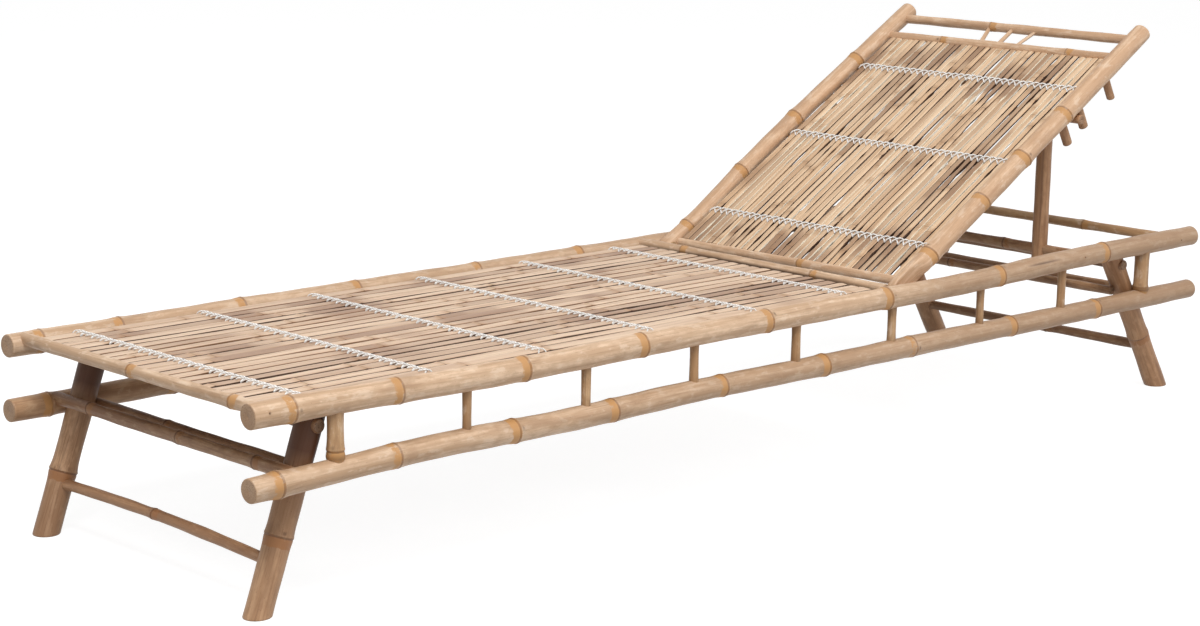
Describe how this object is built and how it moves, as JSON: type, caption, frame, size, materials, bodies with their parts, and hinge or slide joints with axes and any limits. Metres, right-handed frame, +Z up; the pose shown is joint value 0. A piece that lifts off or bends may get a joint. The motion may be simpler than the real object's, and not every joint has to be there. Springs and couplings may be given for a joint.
{
  "type": "sun lounger",
  "caption": "Low bamboo sun lounger with a slatted seat tied with cord and a slatted backrest that lifts and rests on a swinging prop.",
  "frame": {"origin": "on the floor, under the centre of the bounding box", "axes": "+X from the foot end to the head end, +Z up, and the side nearer the camera in the picture is at -Y"},
  "size_m": [2.05, 0.5814, 0.6472],
  "materials": {
    "rail_bamboo": "satin",
    "under_bamboo": "satin",
    "seat_slat": "satin",
    "back_slat": "satin",
    "cord": "matte",
    "nail_steel": "dull"
  },
  "bodies": {
    "frame": {"foot_cross_rail": "rail_bamboo", "foot_leg_axle": "under_bamboo", "foot_leg_far": "under_bamboo", "foot_leg_near": "under_bamboo", "foot_lower_bar_inner": "under_bamboo", "foot_lower_bar_outer": "under_bamboo", "foot_post_far": "under_bamboo", "foot_post_near": "under_bamboo", "foot_stretcher": "under_bamboo", "head_cross_rail": "rail_bamboo", "head_leg_axle": "under_bamboo", "head_leg_far": "under_bamboo", "head_leg_near": "under_bamboo", "head_lower_bar_inner": "under_bamboo", "head_lower_bar_outer": "under_bamboo", "head_post_far": "under_bamboo", "head_post_near": "under_bamboo", "head_stretcher": "under_bamboo", "hinge_pin_far": "under_bamboo", "hinge_pin_near": "under_bamboo", "lower_rail_far": "rail_bamboo", "lower_rail_near": "rail_bamboo", "prop_pivot_bar": "under_bamboo", "rail_nails_far": "nail_steel", "rail_nails_near": "nail_steel", "seat_battens": "under_bamboo", "seat_end_rail": "rail_bamboo", "seat_lashing_1": "cord", "seat_lashing_2": "cord", "seat_lashing_3": "cord", "seat_lashing_4": "cord", "seat_lashing_5": "cord", "seat_lashing_6": "cord", "seat_slats": "seat_slat", "side_rail_far": "rail_bamboo", "side_rail_near": "rail_bamboo", "spindles_far": "under_bamboo", "spindles_near": "under_bamboo"},
    "backrest": {"back_battens": "under_bamboo", "back_lashing_1": "cord", "back_lashing_2": "cord", "back_lashing_3": "cord", "back_rail_far": "rail_bamboo", "back_rail_near": "rail_bamboo", "back_slats": "back_slat", "bottom_rod": "rail_bamboo", "headrest_rod": "rail_bamboo", "ornament_sticks": "rail_bamboo", "pegs_far": "rail_bamboo", "pegs_near": "rail_bamboo", "upper_rod": "rail_bamboo"},
    "prop": {"prop_post_far": "under_bamboo", "prop_post_near": "under_bamboo", "prop_rod": "under_bamboo"}
  },
  "joints": [
    {"name": "backrest_hinge", "type": "hinge", "parent": "frame", "child": "backrest", "pos_m": [0.241, 0, 0.27], "axis": [0, -1, 0], "range_deg": [0, 60]},
    {"name": "prop_hinge", "type": "hinge", "parent": "frame", "child": "prop", "pos_m": [0.686, 0, 0.273], "axis": [0, -1, 0], "range_deg": [0, 50]}
  ],
  "couplings": [
    {"joint": "prop_hinge", "follows": "backrest_hinge", "ratio": 0.8}
  ]
}
